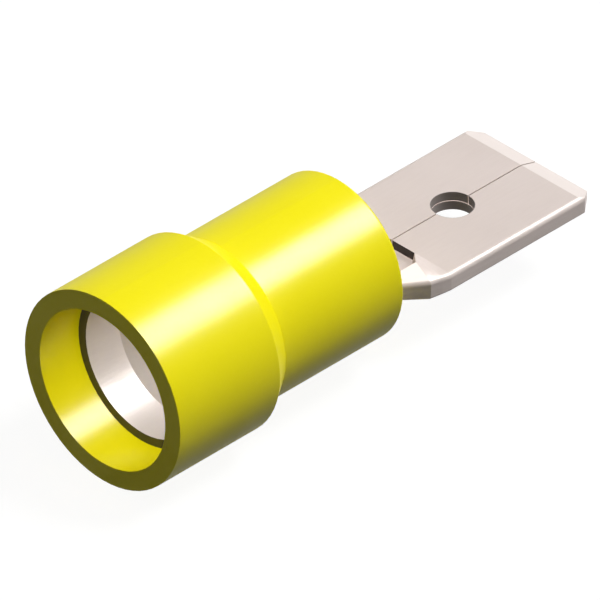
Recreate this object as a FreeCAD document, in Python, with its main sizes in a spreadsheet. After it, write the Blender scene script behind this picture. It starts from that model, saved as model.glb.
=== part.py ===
import FreeCAD, Part

import math
import os

import Sketcher

# Insulated male spade terminal for crimping on a wire, in millimetres.
# Origin: centre of the wire mouth, on the axis of the barrel.
# +X runs along the axis to the tip of the tab, +Z is up, and the tab lies below the axis.

SIZES = {
    # Yellow insulating sleeve, moulded round about the X axis
    "sleeve_length": 12.5,
    "sleeve_wall": 0.8,
    "entry_diameter": 8.28,
    "entry_length": 5.26,
    "shoulder_length": 0.94,
    "grip_diameter": 7.0,
    "rim_radius": 0.12,
    "seat_depth": 0.16,
    # Support tube inside the sleeve, wide at the mouth and drawn down to the barrel
    "tube_start": 2.05,
    "tube_wall": 0.53,
    "tube_taper_start": 3.75,
    "tube_taper_angle": 26.0,
    "fit_gap": 0.01,
    # Terminal, one sheet that is rolled to a barrel and folded double at the tab
    "sheet": 0.38,
    "fold_gap": 0.04,
    "seam_gap": 0.06,
    "barrel_start": 5.3,
    "barrel_end": 11.6,
    "barrel_reach": 0.3,
    "tab_drop": 1.16,
    "tab_width": 6.35,
    "tab_start": 15.36,
    "tab_end": 23.1,
    "edge_radius": 0.13,
    "fold_radius": 0.22,
    "bevel_length": 0.77,
    "bevel_depth": 0.23,
    "corner_length": 0.57,
    "corner_width": 0.44,
    "detent_diameter": 1.7,
    "detent_place": 18.62,
    "flap_notch": 1.2,
    # Neck between barrel and tab: the fold opens at the notch and the shoulder, narrows to the throat
    "notch_place": 14.95,
    "notch_floor": 3.12,
    "notch_half": 3.12,
    "notch_side": 0.8,
    "notch_edge": 1.61,
    "notch_lean": 14.0,
    "shoulder_place": 14.41,
    "shoulder_floor": 3.02,
    "shoulder_half": 3.04,
    "shoulder_side": 0.8,
    "shoulder_edge": 2.22,
    "shoulder_lean": 34.0,
    "throat_place": 13.45,
    "throat_floor": 2.13,
    "throat_half": 2.65,
    "throat_side": 0.88,
    "throat_edge": 2.11,
    "throat_lean": 34.0,
}

# Where the rolled sheet is parted for the neck, in degrees from the horizontal, from seam to floor
BARREL_OUTER_ANGLES = (62.0, 12.0, -12.0, -48.0)
BARREL_INNER_ANGLES = (5.0, -40.0)

document = FreeCAD.newDocument("spade_terminal")
sheet = document.addObject("Spreadsheet::Sheet", "Sizes")
for row, (name, value) in enumerate(SIZES.items(), start=1):
    sheet.set(f"A{row}", name)
    sheet.set(f"B{row}", str(value))
    sheet.setAlias(f"B{row}", name)
document.recompute()


class Size:
    """A number together with the sheet formula that gives it."""

    def __init__(self, number, formula=None):
        self.number = float(number)
        self.formula = formula or repr(float(number))

    def __add__(self, other):
        other = as_size(other)
        return Size(self.number + other.number, f"({self.formula} + {other.formula})")

    def __sub__(self, other):
        other = as_size(other)
        return Size(self.number - other.number, f"({self.formula} - {other.formula})")

    def __mul__(self, other):
        other = as_size(other)
        return Size(self.number * other.number, f"({self.formula} * {other.formula})")

    def __truediv__(self, other):
        other = as_size(other)
        return Size(self.number / other.number, f"({self.formula} / {other.formula})")

    def __neg__(self):
        return Size(-self.number, f"(0 - {self.formula})")


def as_size(value):
    return value if isinstance(value, Size) else Size(value)


def size(name):
    """The driving dimension of that name."""
    return Size(sheet.get(name), f"Sizes.{name}")


def sine(angle):
    return Size(math.sin(math.radians(angle.number)), f"sin({angle.formula} * 1 deg)")


def cosine(angle):
    return Size(math.cos(math.radians(angle.number)), f"cos({angle.formula} * 1 deg)")


def tangent(angle):
    return Size(math.tan(math.radians(angle.number)), f"tan({angle.formula} * 1 deg)")


def arc_tangent(ratio):
    """Angle in degrees whose tangent is the ratio."""
    number = math.degrees(math.atan(ratio.number))
    return Size(number, f"(atan({ratio.formula}) / 1 deg)")


def height_on_circle(radius, across):
    """Height of a circle's point at that distance beside its centre."""
    number = math.sqrt(radius.number ** 2 - across.number ** 2)
    return Size(number, f"sqrt({radius.formula} ^ 2 - {across.formula} ^ 2)")


def on_circle(radius, degrees):
    angle = Size(degrees)
    return (radius * cosine(angle), radius * sine(angle))


def origin_plane(body, role):
    """The body's own base plane, such as XY_Plane."""
    for feature in body.Origin.OriginFeatures:
        if feature.Role == role:
            return feature
    raise RuntimeError(f"{body.Label} has no {role}")


def new_body(label):
    body = document.addObject("PartDesign::Body", label)
    body.Label = label
    return body


def new_sketch(body, name, role, offset=None):
    """A sketch on a base plane of the body, moved along the plane's normal by offset."""
    sketch = body.newObject("Sketcher::SketchObject", name)
    sketch.AttachmentSupport = [(origin_plane(body, role), "")]
    sketch.MapMode = "FlatFace"
    if offset is not None:
        sketch.AttachmentOffset = FreeCAD.Placement(FreeCAD.Vector(0, 0, offset.number), FreeCAD.Rotation())
        sketch.setExpression("AttachmentOffset.Base.z", offset.formula)
    return sketch


def vector(point):
    return FreeCAD.Vector(point[0].number, point[1].number, 0)


def arc_between(start, end, radius, bulge):
    """Arc of less than half a turn. Bulge 1 turns left on the way to the end, -1 turns right."""
    chord = end - start
    half = chord.Length / 2
    rise = math.sqrt(max(radius ** 2 - half ** 2, 0))
    left = FreeCAD.Vector(-chord.y, chord.x, 0).normalize()
    centre = (start + end) / 2 + left * (rise * bulge)
    first, last = (start, end) if bulge > 0 else (end, start)
    angles = [math.atan2(point.y - centre.y, point.x - centre.x) for point in (first, last)]
    circle = Part.Circle(centre, FreeCAD.Vector(0, 0, 1), radius)
    return Part.ArcOfCircle(circle, angles[0], angles[1])


def bind(sketch, constraint, measure):
    """Adds a dimension to the sketch and ties it to the sheet."""
    index = sketch.addConstraint(constraint)
    sketch.setExpression(f"Constraints[{index}]", measure.formula)


def draw_outline(sketch, steps):
    """Closed outline. Each step is (point, radius, bulge): the corner where a line or arc starts,
    with radius None for a line. Every corner and radius is tied to the sheet."""
    count = len(steps)
    starts = []
    for number, (point, radius, bulge) in enumerate(steps):
        start = vector(point)
        end = vector(steps[(number + 1) % count][0])
        if radius is None:
            sketch.addGeometry(Part.LineSegment(start, end))
            starts.append((1, 2))
        else:
            sketch.addGeometry(arc_between(start, end, radius.number, bulge))
            starts.append((1, 2) if bulge > 0 else (2, 1))
    for number, (point, radius, bulge) in enumerate(steps):
        following = (number + 1) % count
        joint = (number, starts[number][1], following, starts[following][0])
        sketch.addConstraint(Sketcher.Constraint("Coincident", *joint))
        corner = (-1, 1, number, starts[number][0])
        bind(sketch, Sketcher.Constraint("DistanceX", *corner, point[0].number), point[0])
        bind(sketch, Sketcher.Constraint("DistanceY", *corner, point[1].number), point[1])
        if radius is not None:
            bind(sketch, Sketcher.Constraint("Radius", number, radius.number), radius)


def line_from(x, y):
    return ((x, y), None, 0)


def revolve(body, name, sketch):
    """Turns a profile that is drawn on the XZ plane once about the X axis."""
    feature = body.newObject("PartDesign::Revolution", name)
    feature.Profile = sketch
    feature.ReferenceAxis = (sketch, ["H_Axis"])
    feature.Angle = 360
    return feature


def pad(body, name, sketch, length):
    feature = body.newObject("PartDesign::Pad", name)
    feature.Profile = sketch
    feature.Length = length.number
    feature.setExpression("Length", length.formula)
    return feature


def cut_through(body, name, sketch):
    """Cuts a sketch's outline through the whole body, to both sides of its plane."""
    document.recompute()
    before = body.Shape.Volume
    feature = body.newObject("PartDesign::Pocket", name)
    feature.Profile = sketch
    feature.Type = "ThroughAll"
    feature.Midplane = True
    document.recompute()
    if not body.Shape.Volume < before:
        raise RuntimeError(f"{name} cuts nothing")
    return feature


# Levels and radii that more than one piece uses
zero = Size(0)
entry_bore = size("entry_diameter") / 2 - size("sleeve_wall")
grip_bore = size("grip_diameter") / 2 - size("sleeve_wall")
seat_bore = entry_bore + size("seat_depth")
seat_start = size("tube_start") - size("fit_gap")
tube_wide = seat_bore - size("fit_gap")
tube_narrow = grip_bore - size("fit_gap")
barrel_radius = tube_narrow - size("tube_wall") - size("fit_gap")
taper_length = (seat_bore - grip_bore) / tangent(size("tube_taper_angle"))
# The barrel stands out of the tube, where its neck begins
tube_end = size("barrel_end") - size("barrel_reach")
# A bend in a wall of even thickness lies further along on its outer face
bend_shift = size("tube_wall") * tangent(size("tube_taper_angle") / 2)
taper_outer_start = size("tube_taper_start") + bend_shift
taper_outer_end = taper_outer_start + taper_length
tab_thickness = size("sheet") * 2 + size("fold_gap")
tab_bottom = -(size("tab_drop") + tab_thickness / 2)
tab_top = tab_bottom + tab_thickness
tab_half = size("tab_width") / 2


def build_insulating_sleeve():
    """Moulded sleeve: a wide wire entry, a short conical shoulder and the narrower grip.
    Inside, the support tube's end snaps in behind a shallow step."""
    body = new_body("insulating_sleeve")
    entry = size("entry_diameter") / 2
    grip = size("grip_diameter") / 2
    end = size("sleeve_length")
    shoulder_end = size("entry_length") + size("shoulder_length")
    rim = size("rim_radius")
    sketch = new_sketch(body, "sleeve_profile", "XZ_Plane")
    draw_outline(sketch, [
        line_from(zero, entry_bore),
        line_from(zero, entry),
        line_from(size("entry_length"), entry),
        line_from(shoulder_end, grip),
        ((end - rim, grip), rim, -1),
        line_from(end, grip - rim),
        line_from(end, grip_bore),
        line_from(taper_outer_end, grip_bore),
        line_from(taper_outer_start, seat_bore),
        line_from(seat_start, seat_bore),
        line_from(seat_start, entry_bore),
    ])
    revolve(body, "sleeve_round", sketch)
    return body


def build_support_tube():
    """Drawn tube of even wall: wide in the wire entry, tapered, then narrow round the barrel."""
    body = new_body("support_tube")
    wall = size("tube_wall")
    sketch = new_sketch(body, "tube_profile", "XZ_Plane")
    draw_outline(sketch, [
        line_from(size("tube_start"), tube_wide - wall),
        line_from(size("tube_start"), tube_wide),
        line_from(taper_outer_start, tube_wide),
        line_from(taper_outer_end, tube_narrow),
        line_from(tube_end, tube_narrow),
        line_from(tube_end, tube_narrow - wall),
        line_from(taper_outer_end - bend_shift, tube_narrow - wall),
        line_from(taper_outer_start - bend_shift, tube_wide - wall),
    ])
    revolve(body, "tube_round", sketch)
    return body


def mirrored(half):
    """The other half of an outline that is symmetric about the height axis.
    Its steps run the other way, so each line or arc starts at what was its end."""
    other = []
    for number in range(len(half) - 1, -1, -1):
        point = half[number][0]
        radius, bulge = half[number - 1][1:] if number > 0 else (None, 0)
        other.append(((-point[0], point[1]), radius, bulge))
    return other


def strip_outline(outer, inner):
    """Section of the sheet, open at the top. Outer and inner run from the open edge to the floor
    on the right-hand side, outer with right turns and inner with left turns on the way back."""
    outer_steps = outer + mirrored(outer)
    inner_left = [((-point[0], point[1]), radius, bulge) for point, radius, bulge in inner]
    inner_steps = inner_left + mirrored(inner_left)
    return outer_steps + inner_steps


def folded_section(floor, half, side, edge, lean):
    """Section with a flat floor, sides that flare out from it and walls that lean in over it.
    Floor and half are the half widths outside, at the floor and at the fold, side is the fold's
    height over the floor, edge how far the wall's free edge stays from the middle, and lean the
    wall's angle over the horizontal."""
    thick = size("sheet")
    flare = arc_tangent((half - floor) / side)
    fold_height = tab_bottom + side
    fold_radius = size("fold_radius")
    floor_radius = size("edge_radius")
    fold_cut = fold_radius * tangent((as_size(90) - lean + flare) / 2)
    floor_cut = floor_radius * tangent((as_size(90) - flare) / 2)
    edge_height = fold_height + (half - edge) * tangent(lean)
    outer = [
        ((edge, edge_height), None, 0),
        ((half - fold_cut * cosine(lean), fold_height + fold_cut * sine(lean)), fold_radius, -1),
        ((half - fold_cut * sine(flare), fold_height - fold_cut * cosine(flare)), None, 0),
        ((floor + floor_cut * sine(flare), tab_bottom + floor_cut * cosine(flare)), floor_radius, -1),
        ((floor - floor_cut, tab_bottom), None, 0),
    ]
    # The inner faces run parallel to the outer ones, one sheet further in
    side_foot = floor - thick / cosine(flare)
    inner_rise = side + (half - side_foot) * tangent(lean) - thick / cosine(lean)
    inner_fold = inner_rise / (as_size(1) + tangent(flare) * tangent(lean))
    inner = [
        ((edge - thick * sine(lean), edge_height - thick * cosine(lean)), None, 0),
        ((side_foot + inner_fold * tangent(flare), tab_bottom + inner_fold), None, 0),
        ((side_foot + thick * tangent(flare), tab_bottom + thick), None, 0),
    ]
    return strip_outline(outer, inner)


def rolled_section():
    """Section of the barrel: the sheet rolled round with its two edges meeting on top."""
    outer_radius = barrel_radius
    inner_radius = barrel_radius - size("sheet")
    seam = size("seam_gap") / 2
    outer = [((seam, height_on_circle(outer_radius, seam)), outer_radius, -1)]
    outer += [(on_circle(outer_radius, angle), outer_radius, -1) for angle in BARREL_OUTER_ANGLES]
    inner = [((seam, height_on_circle(inner_radius, seam)), inner_radius, 1)]
    inner += [(on_circle(inner_radius, angle), inner_radius, 1) for angle in BARREL_INNER_ANGLES]
    return strip_outline(outer, inner)


def tab_section():
    """Section of the tab: the floor with both flaps folded flat on it, a seam between them."""
    return folded_section(tab_half, tab_half, tab_thickness, size("seam_gap") / 2, zero)


def build_terminal():
    """One sheet: rolled barrel, neck that opens and narrows, and the tab folded double."""
    body = new_body("terminal")

    barrel_sketch = new_sketch(body, "barrel_section", "YZ_Plane", size("barrel_start"))
    draw_outline(barrel_sketch, rolled_section())
    pad(body, "barrel", barrel_sketch, size("barrel_end") - size("barrel_start"))

    neck_sketches = []
    end_sketch = new_sketch(body, "neck_at_barrel", "YZ_Plane", size("barrel_end"))
    draw_outline(end_sketch, rolled_section())
    neck_sketches.append(end_sketch)
    for station in ("throat", "shoulder", "notch"):
        sketch = new_sketch(body, f"neck_at_{station}", "YZ_Plane", size(f"{station}_place"))
        draw_outline(sketch, folded_section(
            size(f"{station}_floor"),
            size(f"{station}_half"),
            size(f"{station}_side"),
            size(f"{station}_edge"),
            size(f"{station}_lean"),
        ))
        neck_sketches.append(sketch)
    flap_sketch = new_sketch(body, "neck_at_tab", "YZ_Plane", size("tab_start"))
    flap_section = folded_section(tab_half, tab_half, tab_thickness, size("flap_notch"), zero)
    draw_outline(flap_sketch, flap_section)
    neck_sketches.append(flap_sketch)
    neck = body.newObject("PartDesign::AdditiveLoft", "neck")
    neck.Profile = neck_sketches[0]
    neck.Sections = neck_sketches[1:]
    neck.Ruled = True

    tab_sketch = new_sketch(body, "tab_section", "YZ_Plane", size("tab_start"))
    draw_outline(tab_sketch, tab_section())
    pad(body, "tab", tab_sketch, size("tab_end") - size("tab_start"))

    build_tab_cuts(body)
    return body


def build_tab_cuts(body):
    """Detent hole, bevelled tip and cut corners of the tab."""
    tip = size("tab_end")

    detent = new_sketch(body, "detent_hole", "XY_Plane")
    centre = FreeCAD.Vector(size("detent_place").number, 0, 0)
    radius = size("detent_diameter") / 2
    detent.addGeometry(Part.Circle(centre, FreeCAD.Vector(0, 0, 1), radius.number))
    bind(detent, Sketcher.Constraint("Radius", 0, radius.number), radius)
    bind(detent, Sketcher.Constraint("DistanceX", -1, 1, 0, 3, centre.x), size("detent_place"))
    detent.addConstraint(Sketcher.Constraint("PointOnObject", 0, 3, -1))
    cut_through(body, "detent", detent)

    bevel_start = tip - size("bevel_length")
    levels = (("upper", tab_top, tab_top - size("bevel_depth")),
              ("lower", tab_bottom, tab_bottom + size("bevel_depth")))
    for name, face, end_level in levels:
        bevel = new_sketch(body, f"{name}_bevel_outline", "XZ_Plane")
        draw_outline(bevel, [
            line_from(bevel_start, face),
            line_from(tip, face),
            line_from(tip, end_level),
        ])
        cut_through(body, f"{name}_bevel", bevel)

    for name, sign in (("left", 1), ("right", -1)):
        corner = new_sketch(body, f"{name}_corner_outline", "XY_Plane")
        draw_outline(corner, [
            line_from(tip - size("corner_length"), tab_half * sign),
            line_from(tip, tab_half * sign),
            line_from(tip, (tab_half - size("corner_width")) * sign),
        ])
        cut_through(body, f"{name}_corner", corner)


def check_document():
    """Stops on any object that failed to build."""
    for item in document.Objects:
        if "Invalid" in item.State or "Error" in item.State:
            raise RuntimeError(f"{item.Name} is {item.State}")


nodes = [build_insulating_sleeve(), build_support_tube(), build_terminal()]
document.recompute()
check_document()
for node in nodes:
    if node.Shape.isNull() or not node.Shape.isValid():
        raise RuntimeError(f"{node.Label} has no valid shape")
os.makedirs("parts", exist_ok=True)
for node in nodes:
    node.Shape.exportStep(f"parts/{node.Label}.step")
    volume = round(node.Shape.Volume, 3)
    print(node.Label, len(node.Shape.Solids), "solid", volume, "mm3", node.Shape.BoundBox)
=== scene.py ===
import math

import bpy
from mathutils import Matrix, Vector

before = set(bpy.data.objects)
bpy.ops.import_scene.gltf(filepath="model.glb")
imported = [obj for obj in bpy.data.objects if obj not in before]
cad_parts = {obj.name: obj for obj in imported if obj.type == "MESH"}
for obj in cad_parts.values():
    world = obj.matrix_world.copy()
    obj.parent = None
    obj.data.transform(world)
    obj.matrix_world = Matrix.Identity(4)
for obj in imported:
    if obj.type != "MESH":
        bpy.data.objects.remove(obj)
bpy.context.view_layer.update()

# All lengths are in metres, in the part's own frame
MM = 0.001
WHITE = (1.0, 1.0, 1.0, 1.0)

# Camera: the photograph is a parallel isometric view, so a very long lens stands far off. It sees
# what lies between the two clip shares of its distance.
VIEW_DIRECTION = Vector((1.0, 1.0, -1.0)).normalized()
VIEW_CENTRE = Vector((9.935, -0.522, -0.567)) * MM
VIEW_WIDTH = 22.58 * MM
SENSOR_WIDTH_MM = 36.0
LENS_MM = 1600.0
CLIP_SHARES = (0.1, 10.0)

# Key light, from above, from the tab's end and a little from the near side. A strength of pi
# lights a facing white wall to full white. The open share casts no shadow, so the bore stays
# bright.
KEY_DIRECTION = Vector((0.46, -0.30, 0.84)).normalized()
KEY_STRENGTH = 1.01 * math.pi
KEY_OPEN_SHARE = 0.75
KEY_SOFTNESS = math.radians(22)

# Sheen light: a wide soft lamp that makes the highlights and nothing else
SHEEN_DIRECTION = Vector((0.59, -0.30, 0.75)).normalized()
SHEEN_STRENGTH = 2.5 * math.pi
SHEEN_SOFTNESS = math.radians(28)

# Even light from all sides, which fills the shaded faces
AMBIENT = 0.13

# Floor: the sleeve's widest part lies on it. Where it is seen directly it is pale and lifted to
# white, and the light that it throws back on the part is low.
FLOOR_LEVEL = -4.14 * MM
FLOOR_SIZE = 1.5
FLOOR_SEEN = (0.35, 0.35, 0.35, 1.0)
FLOOR_LIFT = 0.70
FLOOR_THROWN_BACK = (0.06, 0.06, 0.06, 1.0)

# Grain: each finish gives the scale of its own fine grain, and the broad patches are as large on
# all of them
FINE_DETAIL = 4.0
PATCH_SCALE = 260.0
PATCH_DETAIL = 2.0
FINE_SHARE_OF_PATCHES = 0.45
RELIEF_DEPTH = 0.02 * MM

# How square a face is to an axis, as the size of its normal's X or Z. A face gets the cut faces'
# painted shade between the two values of X, and counts as flat past the value of Z.
END_FACE_X = (0.93, 0.98)
FLAT_FACE_Z = 0.9

# Finishes. Each pair holds the values where the patches are lowest and highest. The sheet's hole
# is taken a hair wider than its wall, and the drawn tube has no hole.
SLEEVE_FINISH = {
    "colour": ((0.92, 0.81, 0.002, 1.0), (0.96, 0.85, 0.003, 1.0)),
    "roughness": (0.30, 0.38),
    "metallic": 0.0,
    "specular": 0.0,
    "grain": {"Scale": 7000.0, "Stretch": (1.0, 1.0, 1.0)},
    "relief": 0.22,
    "skin_weight": (0.15, 0.55),
    "skin_roughness": 0.28,
}
TUBE_FINISH = {
    "colour": ((0.67, 0.61, 0.59, 1.0), (0.77, 0.71, 0.69, 1.0)),
    "roughness": (0.36, 0.54),
    "metallic": 0.1,
    "specular": 0.3,
    "grain": {"Scale": 8000.0, "Stretch": (0.2, 1.0, 1.0)},
    "relief": 0.35,
    "edges": {"Hole Radius": 0.0},
    # Painted shade on the cut ends, with a little of the cut metal's own duller tone
    "cut_and_painted_shade_colour": (0.09, 0.085, 0.10, 1.0),
}
SHEET_FINISH = {
    "colour": ((0.64, 0.55, 0.51, 1.0), (0.74, 0.65, 0.61, 1.0)),
    "roughness": (0.34, 0.52),
    "metallic": 0.06,
    "specular": 0.25,
    "grain": {"Scale": 8000.0, "Stretch": (0.12, 1.0, 1.0)},
    "relief": 0.4,
    "edges": {
        "Hole Centre": (18.62 * MM, 0.0, 0.0),
        "Hole Radius": 0.86 * MM,
        "Hole Share": 0.62,
        "Bevel Start": 22.32 * MM,
    },
    # Painted shade on the cut faces and the hole's wall, with a little of the cut metal's own tone
    "cut_and_painted_shade_colour": (0.045, 0.035, 0.03, 1.0),
    # Painted light on the tip's bevel, which faces the key lamp
    "painted_tip_light_colour": (0.81, 0.73, 0.69, 1.0),
}


def add_node(tree, kind, inputs=None, **settings):
    """New node with its settings made first. Each input is a plain value, or a socket to join."""
    node = tree.nodes.new(kind)
    for name, value in settings.items():
        setattr(node, name, value)
    for name, value in (inputs or {}).items():
        if isinstance(value, bpy.types.NodeSocket):
            tree.links.new(value, node.inputs[name])
        else:
            node.inputs[name].default_value = value
    return node


def calculate(tree, operation, *values):
    """Result of one operation on plain values or sockets."""
    node = add_node(tree, "ShaderNodeMath", dict(enumerate(values)), operation=operation)
    return node.outputs[0]


def calculate_vector(tree, operation, *values):
    """Result of one operation on vectors."""
    node = add_node(tree, "ShaderNodeVectorMath", dict(enumerate(values)), operation=operation)
    return node.outputs["Value" if operation == "LENGTH" else "Vector"]


def between(tree, share, low, high):
    """Value that runs from low to high as the share runs from 0 to 1."""
    node = add_node(tree, "ShaderNodeMapRange", {"Value": share, "To Min": low, "To Max": high})
    return node.outputs["Result"]


def blend(tree, share, first, second, kind="FLOAT"):
    """Value or colour that runs from the first to the second as the share runs from 0 to 1."""
    inputs = {"Factor": share, "A": first, "B": second}
    return add_node(tree, "ShaderNodeMix", inputs, data_type=kind).outputs["Result"]


def new_material(name):
    material = bpy.data.materials.new(name)
    material.use_nodes = True
    material.node_tree.nodes.clear()
    return material


def new_group(name, inputs, outputs):
    """Node group with the named sockets, and the two collections that its nodes join to."""
    group = bpy.data.node_groups.new(name, "ShaderNodeTree")
    for way, sockets in (("INPUT", inputs), ("OUTPUT", outputs)):
        for socket, kind in sockets.items():
            group.interface.new_socket(socket, in_out=way, socket_type=kind)
    incoming = group.nodes.new("NodeGroupInput").outputs
    outgoing = group.nodes.new("NodeGroupOutput").inputs
    return group, incoming, outgoing


def add_camera():
    """Long lens along the photograph's view, at the distance that gives the photograph's width."""
    camera = bpy.data.cameras.new("camera")
    camera.lens = LENS_MM
    camera.sensor_width = SENSOR_WIDTH_MM
    distance = VIEW_WIDTH * LENS_MM / SENSOR_WIDTH_MM
    camera.clip_start, camera.clip_end = (share * distance for share in CLIP_SHARES)
    stand = bpy.data.objects.new("camera", camera)
    stand.location = VIEW_CENTRE - VIEW_DIRECTION * distance
    stand.rotation_euler = VIEW_DIRECTION.to_track_quat("-Z", "Y").to_euler()
    bpy.context.scene.collection.objects.link(stand)
    bpy.context.scene.camera = stand


def add_lamp(name, direction, strength, softness, shadow=False, sheen=False):
    """Distant lamp. A sheen lamp makes highlights, and the others light the surfaces' colour."""
    lamp = bpy.data.lights.new(name, "SUN")
    lamp.energy = strength
    lamp.angle = softness
    lamp.use_shadow = shadow
    stand = bpy.data.objects.new(name, lamp)
    stand.rotation_euler = (-direction).to_track_quat("-Z", "Y").to_euler()
    stand.visible_diffuse = not sheen
    stand.visible_glossy = sheen
    bpy.context.scene.collection.objects.link(stand)


def seen_directly(tree):
    """1 for camera, glossy and transmission rays, 0 for the rays that light the part."""
    rays = add_node(tree, "ShaderNodeLightPath").outputs
    camera_or_glossy = calculate(tree, "MAXIMUM", rays["Is Camera Ray"], rays["Is Glossy Ray"])
    return calculate(tree, "MAXIMUM", camera_or_glossy, rays["Is Transmission Ray"])


def add_world():
    """White where it is seen directly, and the even light for the part."""
    world = bpy.data.worlds.new("studio")
    bpy.context.scene.world = world
    world.use_nodes = True
    tree = world.node_tree
    tree.nodes.clear()
    strength = between(tree, seen_directly(tree), AMBIENT, 1.0)
    sky = add_node(tree, "ShaderNodeBackground", {"Color": WHITE, "Strength": strength})
    add_node(tree, "ShaderNodeOutputWorld", {"Surface": sky.outputs[0]})


def floor_material():
    """Pale floor: white where it is seen directly, apart from the part's soft shadow."""
    material = new_material("floor")
    tree = material.node_tree
    seen = seen_directly(tree)
    shade = blend(tree, seen, FLOOR_THROWN_BACK, FLOOR_SEEN, "RGBA")
    diffuse = add_node(tree, "ShaderNodeBsdfDiffuse", {"Color": shade})
    lift = calculate(tree, "MULTIPLY", seen, FLOOR_LIFT)
    glow = add_node(tree, "ShaderNodeEmission", {"Strength": lift})
    both = add_node(tree, "ShaderNodeAddShader", {0: diffuse.outputs[0], 1: glow.outputs[0]})
    add_node(tree, "ShaderNodeOutputMaterial", {"Surface": both.outputs[0]})
    return material


def add_floor():
    half = FLOOR_SIZE / 2
    corners = [(-half, -half, FLOOR_LEVEL), (half, -half, FLOOR_LEVEL),
               (half, half, FLOOR_LEVEL), (-half, half, FLOOR_LEVEL)]
    mesh = bpy.data.meshes.new("floor")
    mesh.from_pydata(corners, [], [(0, 1, 2, 3)])
    mesh.materials.append(floor_material())
    floor = bpy.data.objects.new("floor", mesh)
    bpy.context.scene.collection.objects.link(floor)


def grain_group():
    """Fine uneven surface. Height is the fine grain, and Cloud is broad soft patches with a part
    of the fine grain in them."""
    group, incoming, outgoing = new_group(
        "fine_grain",
        {"Scale": "NodeSocketFloat", "Stretch": "NodeSocketVector"},
        {"Height": "NodeSocketFloat", "Cloud": "NodeSocketFloat"})
    place = add_node(group, "ShaderNodeTexCoord").outputs["Object"]
    fine = add_node(group, "ShaderNodeTexNoise", {
        "Vector": calculate_vector(group, "MULTIPLY", place, incoming["Stretch"]),
        "Scale": incoming["Scale"], "Detail": FINE_DETAIL}).outputs["Fac"]
    broad = add_node(group, "ShaderNodeTexNoise", {
        "Vector": place, "Scale": PATCH_SCALE, "Detail": PATCH_DETAIL}).outputs["Fac"]
    group.links.new(fine, outgoing["Height"])
    group.links.new(blend(group, FINE_SHARE_OF_PATCHES, broad, fine), outgoing["Cloud"])
    return group


def cut_shade_and_tip_light_group():
    """Painted shade is 1 on cut faces square to the X axis, and the hole's share in the punched
    hole.
    Painted light is 1 on the flat faces past the bevel's start."""
    group, incoming, outgoing = new_group(
        "cut_shade_and_tip_light",
        {"Hole Centre": "NodeSocketVector", "Hole Radius": "NodeSocketFloat",
         "Hole Share": "NodeSocketFloat", "Bevel Start": "NodeSocketFloat"},
        {"Cut And Painted Shade": "NodeSocketFloat", "Painted Tip Light": "NodeSocketFloat"})
    place = add_node(group, "ShaderNodeTexCoord").outputs
    facing = add_node(group, "ShaderNodeSeparateXYZ", {0: place["Normal"]}).outputs
    position = add_node(group, "ShaderNodeSeparateXYZ", {0: place["Object"]}).outputs

    # Painted shade goes on faces square to the X axis, the cut faces
    end_face = add_node(group, "ShaderNodeMapRange", {
        "Value": calculate(group, "ABSOLUTE", facing["X"]),
        "From Min": END_FACE_X[0], "From Max": END_FACE_X[1]}).outputs["Result"]

    # The hole's axis runs along Z, so only the distance across it counts
    from_centre = calculate_vector(group, "SUBTRACT", place["Object"], incoming["Hole Centre"])
    across = calculate_vector(group, "MULTIPLY", from_centre, (1.0, 1.0, 0.0))
    distance = calculate_vector(group, "LENGTH", across)
    punched = calculate(group, "LESS_THAN", distance, incoming["Hole Radius"])
    group.links.new(blend(group, punched, end_face, incoming["Hole Share"]), outgoing["Cut And Painted Shade"])

    # Painted light goes on the flat faces past the bevel's start, the tip's bevel
    past_start = calculate(group, "GREATER_THAN", position["X"], incoming["Bevel Start"])
    upright = calculate(group, "ABSOLUTE", facing["Z"])
    flat = calculate(group, "GREATER_THAN", upright, FLAT_FACE_Z)
    group.links.new(calculate(group, "MULTIPLY", past_start, flat), outgoing["Painted Tip Light"])
    return group


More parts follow.
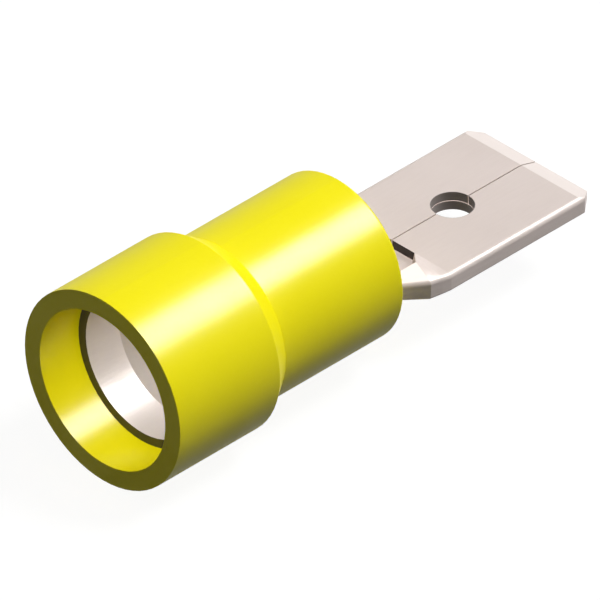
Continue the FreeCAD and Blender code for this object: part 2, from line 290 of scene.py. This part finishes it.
def finish_material(name, finish, grain, cut_shade_and_tip_light):
    """Surface whose colour, roughness and relief follow the grain, as does the weight of the
    plastic's clear skin. Metal gets painted shade on its cut faces and painted light on its tip's
    bevel."""
    material = new_material(name)
    tree = material.node_tree
    grained = add_node(tree, "ShaderNodeGroup", finish["grain"], node_tree=grain).outputs
    cloud = grained["Cloud"]
    colour = blend(tree, cloud, *finish["colour"], "RGBA")
    if "edges" in finish:
        edges = add_node(tree, "ShaderNodeGroup", finish["edges"], node_tree=cut_shade_and_tip_light).outputs
        # Painted light on the tip's bevel, and painted shade on the cut faces and the hole's wall
        if "painted_tip_light_colour" in finish:
            colour = blend(tree, edges["Painted Tip Light"], colour, finish["painted_tip_light_colour"], "RGBA")
        colour = blend(tree, edges["Cut And Painted Shade"], colour, finish["cut_and_painted_shade_colour"], "RGBA")
    relief = add_node(tree, "ShaderNodeBump", {
        "Strength": finish["relief"], "Distance": RELIEF_DEPTH, "Height": grained["Height"]})
    shader = add_node(tree, "ShaderNodeBsdfPrincipled", {
        "Base Color": colour,
        "Roughness": between(tree, cloud, *finish["roughness"]),
        "Metallic": finish["metallic"],
        "Specular IOR Level": finish["specular"],
        "Normal": relief.outputs["Normal"]})
    if "skin_weight" in finish:
        skin = between(tree, cloud, *finish["skin_weight"])
        tree.links.new(skin, shader.inputs["Coat Weight"])
        shader.inputs["Coat Roughness"].default_value = finish["skin_roughness"]
    add_node(tree, "ShaderNodeOutputMaterial", {"Surface": shader.outputs[0]})
    return material


def dress(node_name, material):
    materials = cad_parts[node_name].data.materials
    materials.clear()
    materials.append(material)


bpy.context.scene.view_settings.view_transform = "Standard"
add_camera()
add_lamp("key", KEY_DIRECTION, KEY_STRENGTH * (1 - KEY_OPEN_SHARE), KEY_SOFTNESS, shadow=True)
add_lamp("open_key", KEY_DIRECTION, KEY_STRENGTH * KEY_OPEN_SHARE, KEY_SOFTNESS)
add_lamp("sheen", SHEEN_DIRECTION, SHEEN_STRENGTH, SHEEN_SOFTNESS, sheen=True)
add_world()
add_floor()

grain = grain_group()
cut_shade_and_tip_light = cut_shade_and_tip_light_group()
dress("insulating_sleeve", finish_material("yellow_insulation", SLEEVE_FINISH, grain, cut_shade_and_tip_light))
dress("support_tube", finish_material("tinned_tube", TUBE_FINISH, grain, cut_shade_and_tip_light))
dress("terminal", finish_material("tinned_sheet", SHEET_FINISH, grain, cut_shade_and_tip_light))
